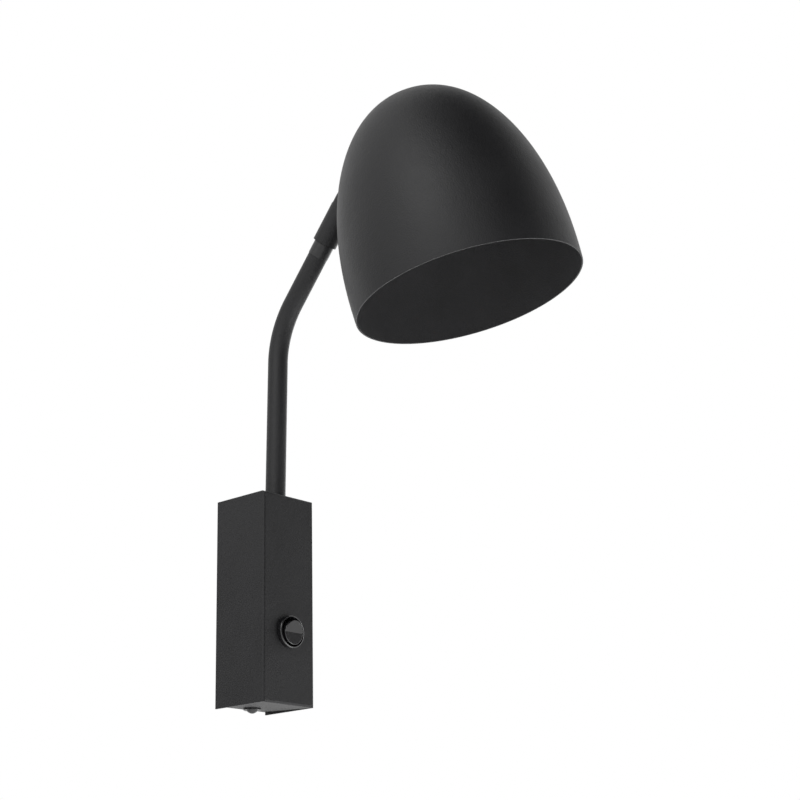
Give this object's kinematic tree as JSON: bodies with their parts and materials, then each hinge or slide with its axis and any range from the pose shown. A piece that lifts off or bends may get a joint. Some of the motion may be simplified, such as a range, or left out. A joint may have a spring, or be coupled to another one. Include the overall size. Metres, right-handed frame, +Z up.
{
  "type": "wall lamp",
  "caption": "Wall lamp with a slim box housing, a round rocker switch, a bent tube arm and a spun dome shade on a swivel and a tilt joint.",
  "frame": {"origin": "on the wall, midway between the two wall screw holes of the bracket", "axes": "X across the wall, +Y into the wall so the lamp stands out towards -Y, +Z up"},
  "size_m": [0.1706, 0.2855, 0.4325],
  "materials": {
    "black_coat": "matt, finely textured powder coat",
    "black_gloss": "satin black",
    "black_steel": "blackened, semi-gloss",
    "zinc_steel": "zinc plated",
    "brass": "plain",
    "switch_black": "gloss",
    "black_plastic": "semi-matt",
    "white_plastic": "matt",
    "red_sleeve": "satin",
    "lead_black": "matt sheath",
    "core_earth": "satin",
    "core_live": "satin",
    "core_grey": "satin"
  },
  "bodies": {
    "base": {"housing": "black_coat", "fixing_screw": "black_steel", "wall_bracket": "zinc_steel", "press_nut": "zinc_steel", "cable_bush": "black_plastic", "terminal_block": "white_plastic", "terminal_clamps": "brass", "terminal_screws": "zinc_steel", "block_screw": "zinc_steel", "earth_screw": "zinc_steel", "earth_washer": "zinc_steel", "earth_tag": "brass", "earth_lead": "core_earth", "feed_lead": "core_live", "switch_body": "switch_black", "switch_terminals": "brass", "spade_sleeves": "red_sleeve", "arm_tube": "black_coat", "arm_foot": "zinc_steel", "backing_plate": "zinc_steel", "lock_washer": "zinc_steel", "arm_nut": "zinc_steel", "foot_bush": "black_plastic", "arm_lead": "lead_black", "arm_cores": "core_grey", "swivel_spindle": "black_gloss", "swivel_nut": "brass"},
    "rocker": {"switch_rocker": "switch_black", "rocker_plunger": "white_plastic"},
    "contact": {"switch_contact": "brass"},
    "sleeve": {"friction_washer": "white_plastic", "head_sleeve": "black_coat", "wave_washer": "zinc_steel", "stop_screw": "black_steel", "tilt_fork": "black_coat", "fork_screw": "black_steel", "tilt_screws": "black_steel", "tilt_washers": "white_plastic"},
    "head": {"knuckle": "black_coat", "knuckle_screws": "zinc_steel", "lead_bush": "black_plastic", "shade": "black_coat", "holder_strap": "zinc_steel", "holder_nipple": "zinc_steel", "holder_nut": "zinc_steel", "holder_cap": "black_plastic", "holder_body": "black_plastic", "holder_core": "white_plastic", "threaded_shell": "brass", "centre_contact": "brass", "holder_terminals": "zinc_steel", "holder_cores": "core_grey", "head_lead": "lead_black"}
  },
  "joints": [
    {"name": "head_turn", "type": "hinge", "parent": "base", "child": "sleeve", "pos_m": [0, -0.09625, 0.2742], "axis": [0, -0.6481, 0.7615], "range_deg": [-101.1, 78.9]},
    {"name": "head_tilt", "type": "hinge", "parent": "sleeve", "child": "head", "pos_m": [0, -0.11077, 0.29125], "axis": [0.9813, 0.1466, 0.1248], "range_deg": [-60, 18]},
    {"name": "rocker_tilt", "type": "hinge", "parent": "base", "child": "rocker", "pos_m": [0, -0.0475, -0.024], "axis": [1, 0, 0], "range_deg": [-14, 0]},
    {"name": "contact_rock", "type": "hinge", "parent": "base", "child": "contact", "pos_m": [0, -0.0394, -0.024], "axis": [1, 0, 0], "range_deg": [0, 8.4]}
  ],
  "couplings": [
    {"joint": "contact_rock", "follows": "rocker_tilt", "ratio": -0.6}
  ]
}
